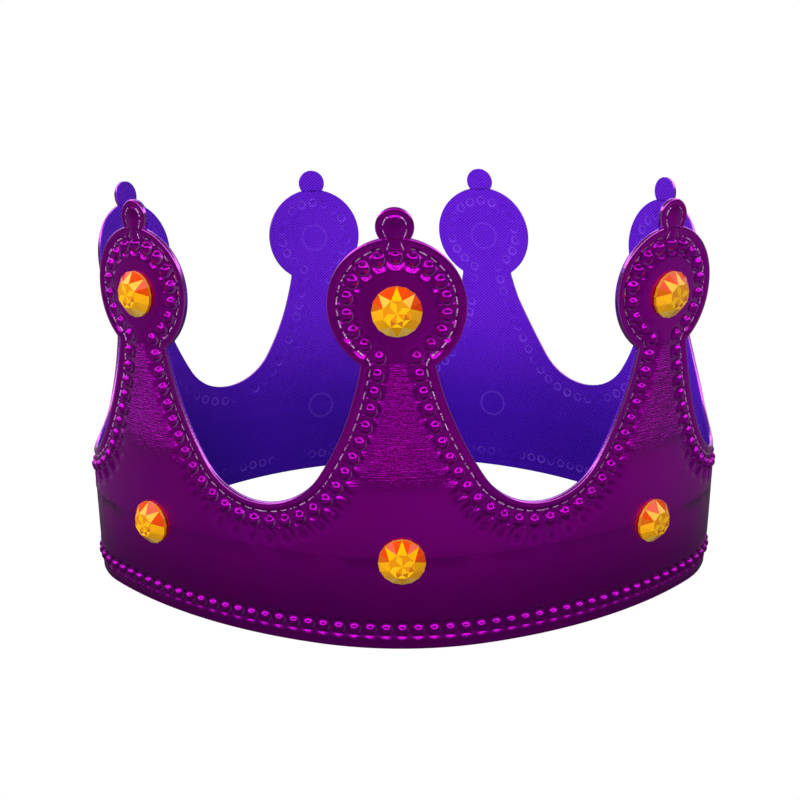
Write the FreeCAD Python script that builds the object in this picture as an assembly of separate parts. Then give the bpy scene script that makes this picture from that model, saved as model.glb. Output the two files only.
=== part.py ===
import FreeCAD, Part
import math
import os

# A party crown, die-cut from one long strip: an embossed, foil-faced sheet outside and a woven
# lining inside, with glued faceted stones. The strip is bent round and its ends lap at the back.
# Lengths are millimetres and angles degrees. The crown stands on its straight bottom edge at z = 0,
# its front faces -Y, and the origin is the middle of its bounding box at the bottom.
# A place on the strip is (s, z): s runs along the strip from the middle of the front spike,
# positive towards +X. The bent strip is made of narrow flats, and each stone sits on one of its own.

# Plan of the bent strip, on the face between sheet and lining: each half is four tangent arcs.
# The radii give its form, and the spikes' pitch its girth.
FRONT_RADIUS = 95.0
FRONT_ANGLE = 15.0
CHEEK_RADIUS = 160.0
CHEEK_ANGLE = 29.9
CORNER_RADIUS = 33.0
CORNER_ANGLE = 53.5

# Die-cut outline of the strip.
SPIKE_PITCH = 85.1
LAST_HALF_BAY = 35.717
LAP_REACH = 15.0
VALLEY_HEIGHT = 43.4
VALLEY_RADIUS = 22.3
VALLEY_SWEEP = 57.5
WAIST_HALF_WIDTH = 10.35
DISC_RADIUS = 19.2
DISC_HEIGHT = 103.1
BALL_RADIUS = 5.2
BALL_SINK = 2.6

# Thicknesses, from the lining's inner face outwards.
LINING_THICKNESS = 0.4
SHEET_THICKNESS = 1.6

# Embossed beads: one row follows the spikes, the other the bottom edge.
BEAD_SIZE = 3.3
BEAD_RISE = 1.0
BEAD_SINK = 0.3
DISC_BEAD_COUNT = 15
DISC_BEAD_INSET = 5.3
SIDE_BEAD_COUNT = 14
VALLEY_BEAD_INSET = 6.0
BOTTOM_BEAD_COUNT = 18
BOTTOM_BEAD_HEIGHT = 6.3

# Faceted stones and the flats they sit on.
STONE_DIAMETER = 13.9
STONE_GIRDLE = 0.9
STONE_HEIGHT = 3.7
STONE_TABLE_RADIUS = 3.9
UPPER_STONE_DROP = 0.8
LOWER_STONE_HEIGHT = 28.8
SEAT_MARGIN = 0.25

# Touch fastener between the lapped ends.
TAPE_THICKNESS = 0.9
TAPE_WIDTH = 20.0
TAPE_LOW = 11.0
TAPE_HIGH = 37.0

SPIKE_COUNT_PER_SIDE = 3
GIRDLE_SIDE_COUNT = 16
TABLE_SIDE_COUNT = 8
FLAT_SAG = 0.08
LEFT = -1
RIGHT = 1
BALL_HEIGHT = DISC_HEIGHT + DISC_RADIUS + BALL_RADIUS - BALL_SINK
UPPER_STONE_HEIGHT = DISC_HEIGHT - UPPER_STONE_DROP
HALF_GIRTH = SPIKE_COUNT_PER_SIDE * SPIKE_PITCH + LAST_HALF_BAY
LAP_STEP = LINING_THICKNESS + SHEET_THICKNESS + 2 * TAPE_THICKNESS
UP = FreeCAD.Vector(0, 0, 1)


def spot(x, y, z=0.0):
    return FreeCAD.Vector(x, y, z)


def facing(heading):
    """Outward direction where the plan heads the given way (0 at the front, 180 at the back)."""
    angle = math.radians(heading)
    return spot(math.sin(angle), -math.cos(angle))


def arc_length(arc):
    _, radius, first, last = arc
    return radius * math.radians(last - first)


def plan_arcs(step):
    """The arcs (centre, radius, first heading, last heading) of a half whose back stands out by step."""
    cheek_start = FRONT_ANGLE
    corner_start = cheek_start + CHEEK_ANGLE
    back_start = corner_start + CORNER_ANGLE
    front_centre = spot(0, FRONT_RADIUS)
    cheek_centre = front_centre + facing(cheek_start) * (FRONT_RADIUS - CHEEK_RADIUS)
    corner_centre = cheek_centre + facing(corner_start) * (CHEEK_RADIUS - CORNER_RADIUS)
    back_radius = CORNER_RADIUS + corner_centre.x / facing(back_start).x
    back_centre = corner_centre + facing(back_start) * (CORNER_RADIUS - back_radius)
    form = [
        (front_centre, FRONT_RADIUS, 0.0, cheek_start),
        (cheek_centre, CHEEK_RADIUS, cheek_start, corner_start),
        (corner_centre, CORNER_RADIUS, corner_start, back_start),
        (back_centre, back_radius, back_start, 180.0),
    ]
    scale = HALF_GIRTH / sum(arc_length(arc) for arc in form)
    front, cheek, _, back = [(centre * scale, radius * scale) for centre, radius, _, _ in form]
    # The corner is tangent to the cheek, where the cheek ends, and to the widened back circle.
    radius = back[1] + step
    between = cheek[0] - back[0]
    along = between.dot(facing(corner_start))
    corner = cheek[1] ** 2 + between.dot(between) + 2 * cheek[1] * along - radius ** 2
    corner /= 2 * (along + cheek[1] - radius)
    corner_centre = cheek[0] + facing(corner_start) * (cheek[1] - corner)
    away = corner_centre - back[0]
    back_start = math.degrees(math.atan2(away.x, -away.y))
    return [
        (front[0], front[1], 0.0, cheek_start),
        (cheek[0], cheek[1], cheek_start, corner_start),
        (corner_centre, corner, corner_start, back_start),
        (back[0], radius, back_start, 270.0),
    ]


PLAN = {LEFT: plan_arcs(0.0), RIGHT: plan_arcs(LAP_STEP)}


def mirrored(side, vector):
    return spot(side * vector.x, vector.y, vector.z)


def on_plan(s):
    """Point and outward direction of the plan at the distance s."""
    side = LEFT if s < 0 else RIGHT
    rest = abs(s)
    for arc in PLAN[side]:
        if rest <= arc_length(arc):
            break
        rest -= arc_length(arc)
    centre, radius, first, _ = arc
    out = facing(first + math.degrees(rest / radius))
    return mirrored(side, centre + out * radius), mirrored(side, out)


def back_middle(side):
    """The distance along a half at which it reaches the middle of the back."""
    return sum(radius * math.radians(min(last, 180.0) - first) for _, radius, first, last in PLAN[side])


def end_reach(side):
    """The distance along a half at which it ends, past the middle of the back."""
    return back_middle(side) + LAP_REACH


def lap_flat(side):
    """Length of the two flats that carry a tape; they face the other end's at the same headings."""
    return TAPE_WIDTH / 2 * PLAN[side][-1][1] / PLAN[LEFT][-1][1]


def flat_length(radius):
    """The longest flat that stands off an arc by no more than FLAT_SAG."""
    return math.sqrt(8 * radius * FLAT_SAG)


def divided(side, low, high):
    """Distances that divide a stretch of a half into flats, arc by arc."""
    marks = [low]
    passed = 0.0
    for arc in PLAN[side]:
        start = max(low, passed)
        end = min(high, passed + arc_length(arc))
        if end > start:
            count = math.ceil((end - start) / flat_length(arc[1]))
            marks += [start + (end - start) * (i + 1) / count for i in range(count)]
        passed += arc_length(arc)
    return marks


def half_stations(side):
    """Distances at which one flat of a half meets the next."""
    seat = STONE_DIAMETER / 2 + SEAT_MARGIN
    marks = []
    low = seat
    for spike in range(1, SPIKE_COUNT_PER_SIDE + 1):
        marks += divided(side, low, spike * SPIKE_PITCH - seat)
        low = spike * SPIKE_PITCH + seat
    middle = back_middle(side)
    marks += divided(side, low, middle - lap_flat(side))
    return marks + [middle, middle + lap_flat(side), end_reach(side)]


STATIONS = [-s for s in reversed(half_stations(LEFT))] + half_stations(RIGHT)
CORNERS = [on_plan(s) for s in STATIONS]


def flat_at(s):
    """Index of the flat that holds the distance s."""
    return max(i for i in range(len(STATIONS) - 1) if i == 0 or STATIONS[i] <= s)


def bent(s, offset, z, flat=None):
    """The point of the bent strip at (s, z), at an offset outside the face between sheet and lining."""
    i = flat_at(s) if flat is None else flat
    share = (s - STATIONS[i]) / (STATIONS[i + 1] - STATIONS[i])
    low, high = [point + out * offset for point, out in CORNERS[i:i + 2]]
    return low + (high - low) * share + UP * z


def flat_facing(s):
    """Forward and outward directions of the flat at the distance s."""
    i = flat_at(s)
    along = (CORNERS[i + 1][0] - CORNERS[i][0]).normalize()
    return along, along.cross(UP)


def turned(centre, radius, angle):
    """A point (s, z) on a circle, the angle measured from straight down."""
    angle = math.radians(angle)
    return centre[0] + radius * math.sin(angle), centre[1] - radius * math.cos(angle)


def sweep(centre, radius, start, end):
    """Points (s, z) along an arc, close enough for straight lines between them."""
    count = math.ceil(math.radians(abs(end - start)) * radius / flat_length(radius))
    return [turned(centre, radius, start + (end - start) * i / count) for i in range(count + 1)]


def flank(low_point, low_slope, high_point):
    """An arc that leaves the low point at a slope from upright and ends at the high point."""
    across = high_point[0] - low_point[0]
    rise = high_point[1] - low_point[1]
    lean = math.degrees(math.atan2(-across, rise))
    half_turn = low_slope - lean
    radius = math.hypot(across, rise) / (2 * math.sin(math.radians(half_turn)))
    centre = (
        low_point[0] + radius * math.cos(math.radians(low_slope)),
        low_point[1] + radius * math.sin(math.radians(low_slope)),
    )
    return sweep(centre, radius, low_slope - 90, low_slope - 90 - 2 * half_turn)


def side_curve(disc_inset, valley_inset):
    """Half a spike from its waist down to the middle of the valley, as points (s, z)."""
    radius = VALLEY_RADIUS + valley_inset
    valley_centre = (SPIKE_PITCH / 2, VALLEY_HEIGHT + VALLEY_RADIUS)
    valley = sweep(valley_centre, radius, -VALLEY_SWEEP, 0)
    waist = WAIST_HALF_WIDTH - disc_inset
    disc = DISC_RADIUS - disc_inset
    waist_point = (waist, DISC_HEIGHT - math.sqrt(disc ** 2 - waist ** 2))
    neck = flank(valley[0], 90 - VALLEY_SWEEP, waist_point)
    return neck[::-1] + valley[1:]


def crossing_height():
    """Height at which the ball's circle meets the disc's circle."""
    gap = BALL_HEIGHT - DISC_HEIGHT
    return DISC_HEIGHT + (DISC_RADIUS ** 2 - BALL_RADIUS ** 2 + gap ** 2) / (2 * gap)


def half_spike():
    """The cut edge from the top of a spike to the middle of the valley, as points (s, z)."""
    meet = crossing_height()
    ball_angle = math.degrees(math.acos((BALL_HEIGHT - meet) / BALL_RADIUS))
    disc_angle = math.degrees(math.acos((DISC_HEIGHT - meet) / DISC_RADIUS))
    waist_angle = math.degrees(math.asin(WAIST_HALF_WIDTH / DISC_RADIUS))
    ball = sweep((0, BALL_HEIGHT), BALL_RADIUS, 180, ball_angle)
    disc = sweep((0, DISC_HEIGHT), DISC_RADIUS, disc_angle, waist_angle)
    return ball + disc[1:] + side_curve(0.0, 0.0)[1:]


def strip_outline():
    """The cut edge of the whole strip, from its lower left corner round to its lower right one."""
    first = -end_reach(LEFT)
    last = end_reach(RIGHT)
    points = [(first, 0), (first, VALLEY_HEIGHT)]
    spike = half_spike()
    for number in range(-SPIKE_COUNT_PER_SIDE, SPIKE_COUNT_PER_SIDE + 1):
        centre = number * SPIKE_PITCH
        up = [(centre - s, z) for s, z in spike[::-1]]
        down = [(centre + s, z) for s, z in spike[1:]]
        points += up if number == -SPIKE_COUNT_PER_SIDE else up[1:]
        points += down
    return points + [(last, VALLEY_HEIGHT), (last, 0)]


def cut_into_flats(outline):
    """The outline's parts on each flat, as loops of points (s, z) with the flat's index."""
    pattern = Part.Face(Part.makePolygon([spot(s, z) for s, z in outline + outline[:1]]))
    height = max(z for _, z in outline)
    parts = []
    for i, (low, high) in enumerate(zip(STATIONS, STATIONS[1:])):
        column = Part.makePlane(high - low, height + 2, spot(low, -1))
        for face in pattern.common(column).Faces:
            parts.append((i, [(v.X, v.Y) for v in face.OuterWire.OrderedVertexes]))
    return parts


def layer(outline, inner, outer):
    """One layer of the bent strip between two offsets, its cut edges square to it."""
    faces = []
    edges = {}
    for flat, loop in cut_into_flats(outline):
        for offset in (inner, outer):
            points = [bent(s, offset, z, flat) for s, z in loop]
            faces.append(Part.Face(Part.makePolygon(points + points[:1])))
        for p, q in zip(loop, loop[1:] + loop[:1]):
            key = frozenset((round(s, 4), round(z, 4)) for s, z in (p, q))
            edges.setdefault(key, []).append((flat, p, q))
    for sharing in edges.values():
        if len(sharing) == 1:
            flat, p, q = sharing[0]
            a, b = [bent(s, inner, z, flat) for s, z in (p, q)]
            d, c = [bent(s, outer, z, flat) for s, z in (p, q)]
            faces.append(Part.Face(Part.makePolygon([a, b, c, a])))
            faces.append(Part.Face(Part.makePolygon([a, c, d, a])))
    skin = Part.makeCompound(faces)
    skin.sewShape()
    body = Part.Solid(skin.Shells[0])
    if body.Volume < 0:
        body.reverse()
    return body.removeSplitter()


def spaced(points, count, first, last):
    """Points at even steps along a run of points, the first and last steps scaled."""
    lengths = [math.dist(a, b) for a, b in zip(points, points[1:])]
    total = sum(lengths)
    step = total / (first + count - 1 + last)
    chosen = []
    for i in range(count):
        target = step * (first + i)
        for (a, b), length in zip(zip(points, points[1:]), lengths):
            if target <= length:
                break
            target -= length
        share = min(target / length, 1.0)
        chosen.append((a[0] + (b[0] - a[0]) * share, a[1] + (b[1] - a[1]) * share))
    return chosen


def side_bead_spots():
    """Where beads sit beside a spike, from its waist to the middle of the valley."""
    return spaced(side_curve(DISC_BEAD_INSET, VALLEY_BEAD_INSET), SIDE_BEAD_COUNT, 0.2, 0.5)


def disc_bead_spots():
    """Where beads sit round the upper stone, symmetrical about the top of the disc."""
    radius = DISC_RADIUS - DISC_BEAD_INSET
    waist = math.degrees(math.asin((WAIST_HALF_WIDTH - DISC_BEAD_INSET) / radius))
    step = (360 - 2 * waist) / (DISC_BEAD_COUNT + 1)
    turns = [180 + step * (i - DISC_BEAD_COUNT // 2) for i in range(DISC_BEAD_COUNT)]
    return [turned((0, DISC_HEIGHT), radius, turn) for turn in turns]


def bead(s, z):
    """One four-sided bead, its foot sunk in the sheet."""
    along, out = flat_facing(s)
    grown = BEAD_SIZE / 2 * (BEAD_RISE + BEAD_SINK) / BEAD_RISE
    foot = bent(s, SHEET_THICKNESS, z) - out * BEAD_SINK
    tip = foot + out * (BEAD_SINK + BEAD_RISE)
    corners = [foot + along * (a * grown) + UP * (b * grown) for a, b in ((1, 1), (-1, 1), (-1, -1), (1, -1))]
    faces = [Part.Face(Part.makePolygon(corners + corners[:1]))]
    for a, b in zip(corners, corners[1:] + corners[:1]):
        faces.append(Part.Face(Part.makePolygon([a, b, tip, a])))
    return Part.Solid(Part.Shell(faces))


def bead_spots():
    """All bead places (s, z) on the strip."""
    spots = []
    for number in range(-SPIKE_COUNT_PER_SIDE, SPIKE_COUNT_PER_SIDE + 1):
        centre = number * SPIKE_PITCH
        spots += [(centre + s, z) for s, z in disc_bead_spots()]
        for s, z in side_bead_spots():
            spots += [(centre + s, z), (centre - s, z)]
    step = SPIKE_PITCH / BOTTOM_BEAD_COUNT
    first, last = [int((end_reach(side) - BEAD_SIZE) / step) for side in (LEFT, RIGHT)]
    return spots + [(step * i, BOTTOM_BEAD_HEIGHT) for i in range(-first, last + 1)]


def front_sheet():
    """The embossed sheet with its beads."""
    return layer(strip_outline(), 0.0, SHEET_THICKNESS).fuse([bead(s, z) for s, z in bead_spots()])


def lining():
    return layer(strip_outline(), -LINING_THICKNESS, 0.0)


def facet(shape, turn, edge_radius, edge_height, top_radius, top_height):
    """Cuts one flat facet through an edge lower down and an edge higher up."""
    lean = math.atan2(edge_radius - top_radius, top_height - edge_height)
    size = STONE_DIAMETER
    block = Part.makeBox(size, 2 * size, 2 * size, spot(0, -size, -size))
    block.rotate(spot(0, 0), spot(0, 1, 0), -math.degrees(lean))
    block.translate(spot(edge_radius, 0, edge_height))
    block.rotate(spot(0, 0), UP, turn)
    return shape.cut(block)


def stone():
    """A flat-backed stone: round girdle, eight main facets, eight star facets and a table."""
    radius = STONE_DIAMETER / 2
    corners = []
    for i in range(GIRDLE_SIDE_COUNT):
        angle = 2 * math.pi * (i + 0.5) / GIRDLE_SIDE_COUNT
        corners.append(spot(radius * math.cos(angle), radius * math.sin(angle)))
    body = Part.Face(Part.makePolygon(corners + corners[:1])).extrude(UP * STONE_HEIGHT)
    flat_radius = radius * math.cos(math.pi / GIRDLE_SIDE_COUNT)
    for i in range(TABLE_SIDE_COUNT):
        turn = 360 * i / TABLE_SIDE_COUNT
        body = facet(body, turn, flat_radius, STONE_GIRDLE, STONE_TABLE_RADIUS, STONE_HEIGHT)
    star_height = (STONE_GIRDLE + STONE_HEIGHT) / 2
    star_radius = (flat_radius + STONE_TABLE_RADIUS) / 2
    for i in range(TABLE_SIDE_COUNT):
        turn = 360 * (i + 0.5) / TABLE_SIDE_COUNT
        body = facet(body, turn, radius, STONE_GIRDLE, star_radius, star_height + STONE_GIRDLE / 2)
    return body


def placed_stone(shape, spike, height):
    """A copy of the stone, flat on the sheet at the middle of a spike."""
    s = spike * SPIKE_PITCH
    centre = bent(s, SHEET_THICKNESS, height)
    along, out = flat_facing(s)
    matrix = FreeCAD.Matrix(
        along.x, UP.x, out.x, centre.x,
        along.y, UP.y, out.y, centre.y,
        along.z, UP.z, out.z, centre.z,
    )
    return shape.transformed(matrix)


def tape(side, inner):
    """The touch-fastener tape of one end, on its two lap flats."""
    first, last = sorted(side * (back_middle(side) + reach) for reach in (-lap_flat(side), lap_flat(side)))
    outline = [(first, TAPE_LOW), (first, TAPE_HIGH), (last, TAPE_HIGH), (last, TAPE_LOW)]
    return layer(outline, inner, inner + TAPE_THICKNESS)


def crown():
    """All pieces by name, in the plan's own frame."""
    pieces = {"front_sheet": front_sheet(), "lining": lining()}
    gem = stone()
    for number, spike in enumerate(range(-SPIKE_COUNT_PER_SIDE, SPIKE_COUNT_PER_SIDE + 1), start=1):
        pieces["upper_gem_%d" % number] = placed_stone(gem, spike, UPPER_STONE_HEIGHT)
        pieces["lower_gem_%d" % number] = placed_stone(gem, spike, LOWER_STONE_HEIGHT)
    pieces["hook_tape"] = tape(LEFT, SHEET_THICKNESS)
    pieces["loop_tape"] = tape(RIGHT, -LINING_THICKNESS - TAPE_THICKNESS)
    return pieces


def main():
    os.makedirs("parts", exist_ok=True)
    pieces = crown()
    box = Part.makeCompound(list(pieces.values())).optimalBoundingBox(False, False)
    for name, shape in pieces.items():
        shape.translate(spot(-box.Center.x, -box.Center.y, -box.ZMin))
        shape.exportStep("parts/%s.step" % name)
        print(name, len(shape.Solids), shape.isValid(), round(shape.Volume, 1))
    print("size", round(box.XLength, 2), round(box.YLength, 2), round(box.ZLength, 2))


main()
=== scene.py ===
# %% [markdown]
# # A party crown in foil, fabric and stones
#
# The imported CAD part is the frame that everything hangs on. This lesson dresses it:
# the embossed foil sheet and its woven lining are drawn flat, as they were die-cut,
# and then bent round the same plan as the CAD part. Lengths below are millimetres on
# the flat pattern, and metres once a piece is bent.

import math

import bmesh
import bpy
from mathutils import Matrix, Vector


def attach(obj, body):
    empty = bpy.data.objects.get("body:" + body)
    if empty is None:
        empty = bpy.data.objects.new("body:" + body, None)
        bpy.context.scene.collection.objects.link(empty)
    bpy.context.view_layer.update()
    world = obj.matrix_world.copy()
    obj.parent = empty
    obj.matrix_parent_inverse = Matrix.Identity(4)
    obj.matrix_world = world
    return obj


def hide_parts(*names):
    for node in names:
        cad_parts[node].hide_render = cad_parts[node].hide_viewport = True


MM = 0.001

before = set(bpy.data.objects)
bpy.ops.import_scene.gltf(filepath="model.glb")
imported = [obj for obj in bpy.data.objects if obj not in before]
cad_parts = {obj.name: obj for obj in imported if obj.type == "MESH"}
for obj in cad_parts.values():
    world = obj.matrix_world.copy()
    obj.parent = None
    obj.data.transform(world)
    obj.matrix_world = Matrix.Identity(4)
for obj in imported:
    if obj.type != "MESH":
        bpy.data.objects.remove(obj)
bpy.context.view_layer.update()

# %% [markdown]
# ## The plan of the ring
#
# Each half of the ring is four tangent arcs, as in the CAD part. `on_plan` turns a
# distance along the strip into a point and the outward direction there. The right
# half ends outside the left one, so its corner is a little wider.

# %% The plan
FRONT_RADIUS, FRONT_ANGLE = 95.0, 15.0
CHEEK_RADIUS, CHEEK_ANGLE = 160.0, 29.9
CORNER_RADIUS, CORNER_ANGLE = 33.0, 53.5
LAP_STEP = 3.8
PLAN_SHIFT = Vector((-1.272, -82.5225, 0.0))
LAP_REACH = 15.0


def facing(heading):
    """The outward direction at a heading in degrees, 0 at the front."""
    angle = math.radians(heading)
    return Vector((math.sin(angle), -math.cos(angle), 0.0))


def plan_arcs(step):
    """Centre, radius, first and last heading of the arcs of one half."""
    cheek_start = FRONT_ANGLE
    corner_start = cheek_start + CHEEK_ANGLE
    back_start = corner_start + CORNER_ANGLE
    front = Vector((0.0, FRONT_RADIUS, 0.0))
    cheek = front + facing(cheek_start) * (FRONT_RADIUS - CHEEK_RADIUS)
    corner = cheek + facing(corner_start) * (CHEEK_RADIUS - CORNER_RADIUS)
    back_radius = CORNER_RADIUS + corner.x / facing(back_start).x
    back = corner + facing(back_start) * (CORNER_RADIUS - back_radius)
    radius = back_radius + step
    between = cheek - back
    along = between.dot(facing(corner_start))
    turn = CHEEK_RADIUS**2 + between.dot(between) + 2 * CHEEK_RADIUS * along - radius**2
    turn /= 2 * (along + CHEEK_RADIUS - radius)
    corner = cheek + facing(corner_start) * (CHEEK_RADIUS - turn)
    away = corner - back
    back_start = math.degrees(math.atan2(away.x, -away.y))
    return [
        (front, FRONT_RADIUS, 0.0, cheek_start),
        (cheek, CHEEK_RADIUS, cheek_start, corner_start),
        (corner, turn, corner_start, back_start),
        (back, radius, back_start, 270.0),
    ]


PLAN = {-1: plan_arcs(0.0), 1: plan_arcs(LAP_STEP)}


def on_plan(s):
    """Point on the plan and outward direction, at the distance s from the front."""
    side = -1 if s < 0 else 1
    rest = abs(s)
    for centre, radius, first, last in PLAN[side]:
        length = radius * math.radians(last - first)
        if rest <= length:
            break
        rest -= length
    out = facing(first + math.degrees(rest / radius))
    point = centre + out * radius
    return Vector((side * point.x, point.y, 0.0)), Vector((side * out.x, out.y, 0.0))


def back_middle(side):
    """The length of one half, from the front to the middle of the back."""
    arcs = PLAN[side]
    return sum(r * math.radians(min(last, 180.0) - first) for _, r, first, last in arcs)


LEFT_END = -(back_middle(-1) + LAP_REACH)
RIGHT_END = back_middle(1) + LAP_REACH
print("Strip from", round(LEFT_END, 1), "to", round(RIGHT_END, 1), "mm")

# %% [markdown]
# ## How each spike leans
#
# A thin strip never stays upright all round. Each spike gets a small lean of its own,
# along the strip and outwards, that grows with height above the valleys.

# %% Bend the flat pattern
PITCH = 85.1
LEAN_START, LEAN_HEIGHT = 50.0, 80.0
SPIKES = range(-3, 4)
# How far the top of each spike leans: (along the strip, outwards).
LEANS = {
    0: (-1.75, 0.06),
    -1: (1.01, 0.24),
    1: (-6.45, 6.66),
    -2: (0.49, 3.9),
    2: (4.53, -2.78),
    -3: (1.07, 2.08),
    3: (8.69, 1.25),
}


def bend(s, z, offset):
    """The place in the ring, in metres, of a point of the flat strip."""
    spike = max(-3, min(3, round(s / PITCH)))
    along, outward = LEANS[spike]
    share = max(0.0, z - LEAN_START) / LEAN_HEIGHT
    lean = share * min(1.0, share * 3.0)
    s, offset = s + along * lean, offset + outward * lean
    point, out = on_plan(s)
    return (point + PLAN_SHIFT + out * offset + Vector((0.0, 0.0, z))) * MM


def bend_all(bm):
    """Bends a flat bmesh whose x, y, z are the distance along, the height and the offset."""
    for v in bm.verts:
        v.co = bend(v.co.x, v.co.y, v.co.z)


# %% [markdown]
# ## The die-cut outline
#
# Half a spike is four arcs: the disc, a small fillet at the waist, the flank and half
# of the valley. Every arc is kept as a centre, a radius and a range of directions, so
# a line at any inset from the edge is the same arc with another radius.

# %% The outline's arcs
DISC_RADIUS, DISC_HEIGHT = 19.2, 103.1
BALL_RADIUS, BALL_HEIGHT = 5.2, 124.9
WAIST = 10.35
VALLEY_RADIUS, VALLEY_HEIGHT, VALLEY_SWEEP = 22.3, 43.4, 57.5
FILLET = 0.8


def turned(centre, radius, angle):
    """A point (s, z) on a circle, the angle measured from straight down."""
    return (
        centre[0] + radius * math.sin(angle),
        centre[1] - radius * math.cos(angle),
    )


def flank_circle():
    """Centre and radius of the flank, from the end of the valley to the waist."""
    slope = math.radians(90 - VALLEY_SWEEP)
    valley = (PITCH / 2, VALLEY_HEIGHT + VALLEY_RADIUS)
    low = turned(valley, VALLEY_RADIUS, -math.radians(VALLEY_SWEEP))
    high = (WAIST, DISC_HEIGHT - math.sqrt(DISC_RADIUS**2 - WAIST**2))
    across, rise = high[0] - low[0], high[1] - low[1]
    half_turn = slope - math.atan2(-across, rise)
    radius = math.hypot(across, rise) / (2 * math.sin(half_turn))
    return (low[0] + radius * math.cos(slope), low[1] + radius * math.sin(slope)), radius


def crossing(a, ra, b, rb):
    """The lower crossing of two circles, the second to the right of the first."""
    gap = math.dist(a, b)
    along = (ra**2 - rb**2 + gap**2) / (2 * gap)
    off = math.sqrt(ra**2 - along**2)
    ux, uz = (b[0] - a[0]) / gap, (b[1] - a[1]) / gap
    return a[0] + ux * along + uz * off, a[1] + uz * along - ux * off


FLANK, FLANK_RADIUS = flank_circle()
DISC = (0.0, DISC_HEIGHT)
VALLEY = (PITCH / 2, VALLEY_HEIGHT + VALLEY_RADIUS)
NOTCH = crossing(DISC, DISC_RADIUS + FILLET, FLANK, FLANK_RADIUS - FILLET)


def heading_of(centre, point):
    """The angle of a point round a centre, measured from straight down."""
    return math.atan2(point[0] - centre[0], -(point[1] - centre[1]))


# %% [markdown]
# ## Where the beads are
#
# Fifteen beads ring the disc, fourteen follow each side down to the valley, and a
# straight row runs along the bottom. They sit where the CAD part has its studs.

# %% Bead places
DISC_INSET, VALLEY_INSET = 5.3, 6.0
BOTTOM_BEADS, BOTTOM_BEAD_HEIGHT = 18, 6.3


def arc_points(centre, radius, first, last, count=96):
    """Points along an arc, with both its ends."""
    step = (last - first) / count
    return [turned(centre, radius, first + step * i) for i in range(count + 1)]


def bead_path():
    """The line of the side beads, from the waist to the middle of the valley."""
    sweep = math.radians(VALLEY_SWEEP)
    valley = arc_points(VALLEY, VALLEY_RADIUS + VALLEY_INSET, -sweep, 0.0)
    waist = WAIST - DISC_INSET
    ring = DISC_RADIUS - DISC_INSET
    high = (waist, DISC_HEIGHT - math.sqrt(ring**2 - waist**2))
    low = valley[0]
    slope = math.pi / 2 - sweep
    across, rise = high[0] - low[0], high[1] - low[1]
    turn = slope - math.atan2(-across, rise)
    radius = math.hypot(across, rise) / (2 * math.sin(turn))
    centre = (low[0] + radius * math.cos(slope), low[1] + radius * math.sin(slope))
    neck = arc_points(centre, radius, slope - math.pi / 2, slope - math.pi / 2 - 2 * turn)
    return neck[::-1] + valley[1:]


def walk(points, rest):
    """The place and the unit direction at a distance along a line of points."""
    for p, q in zip(points, points[1:]):
        length = math.dist(p, q)
        if rest <= length:
            break
        rest -= length
    share = min(rest / length, 1.0)
    direction = ((q[0] - p[0]) / length, (q[1] - p[1]) / length)
    return (p[0] + (q[0] - p[0]) * share, p[1] + (q[1] - p[1]) * share), direction


BEAD_RING = DISC_RADIUS - DISC_INSET
DISC_STEP = (2 * math.pi - 2 * math.asin((WAIST - DISC_INSET) / BEAD_RING)) / 16
BEAD_PATH = bead_path()
SIDE_BEADS, SIDE_START, SIDE_REST = 14, 0.2, 0.5
PATH_LENGTH = sum(math.dist(p, q) for p, q in zip(BEAD_PATH, BEAD_PATH[1:]))
SIDE_STEP = PATH_LENGTH / (SIDE_START + SIDE_BEADS - 1 + SIDE_REST)


def spike_beads():
    """Each bead of one spike: place, inward direction, reach of the scallop inside it."""
    beads = []
    for i in range(-7, 8):
        s, z = turned(DISC, BEAD_RING, math.pi + DISC_STEP * i)
        beads.append(((s, z), (-s / BEAD_RING, (DISC_HEIGHT - z) / BEAD_RING), 1.6))
    for i in range(SIDE_BEADS):
        (s, z), (ds, dz) = walk(BEAD_PATH, SIDE_STEP * (SIDE_START + i))
        reach = 1.6 + 2.6 * smooth((66.0 - z) / 22.0)
        for side in (1, -1):
            beads.append(((side * s, z), (side * dz, -ds), reach))
    return beads


def smooth(x):
    """0 below 0, 1 above 1, smooth between."""
    x = min(1.0, max(0.0, x))
    return x * x * (3 - 2 * x)


BEADS = spike_beads()
BOTTOM_STEP = PITCH / BOTTOM_BEADS
print("Beads on one spike:", len(BEADS))

# %% [markdown]
# ## Columns of the edge band
#
# The band is a grid: columns at right angles to the edge, rows at insets from it.
# Eight columns go to each bead, so every bead is cut the same way.

# %% Columns
STEPS_PER_BEAD, FAN_COLUMNS = 8, 12


def outline_columns():
    """Columns (centre, radius, angle, sign, bead inset) down one side of a spike.

    The point at an inset d from the edge is on the circle of radius + sign * d.
    """
    disc_end, flank_start = heading_of(DISC, NOTCH), heading_of(FLANK, NOTCH)
    valley_start = -math.radians(VALLEY_SWEEP)
    columns, angle = [], math.pi
    while angle > disc_end + 0.01:
        columns.append((DISC, DISC_RADIUS, angle, -1, DISC_INSET))
        angle -= DISC_STEP / STEPS_PER_BEAD
    fan_start = heading_of(NOTCH, DISC)
    for i in range(FAN_COLUMNS):
        angle = fan_start + (flank_start - fan_start) * i / FAN_COLUMNS
        columns.append((NOTCH, FILLET, angle, 1, DISC_INSET))
    for i in range(int((SIDE_BEADS - 1 + SIDE_REST) * STEPS_PER_BEAD) + 1):
        place = walk(BEAD_PATH, SIDE_STEP * (SIDE_START + i / STEPS_PER_BEAD))[0]
        centre, radius, angle = VALLEY, VALLEY_RADIUS, heading_of(VALLEY, place)
        if angle < valley_start:
            centre, radius, angle = FLANK, FLANK_RADIUS, heading_of(FLANK, place)
            if angle < flank_start:
                continue
        columns.append((centre, radius, angle, 1, math.dist(place, centre) - radius))
    return columns


COLUMNS = outline_columns()
print("Columns down one side of a spike:", len(COLUMNS))

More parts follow.
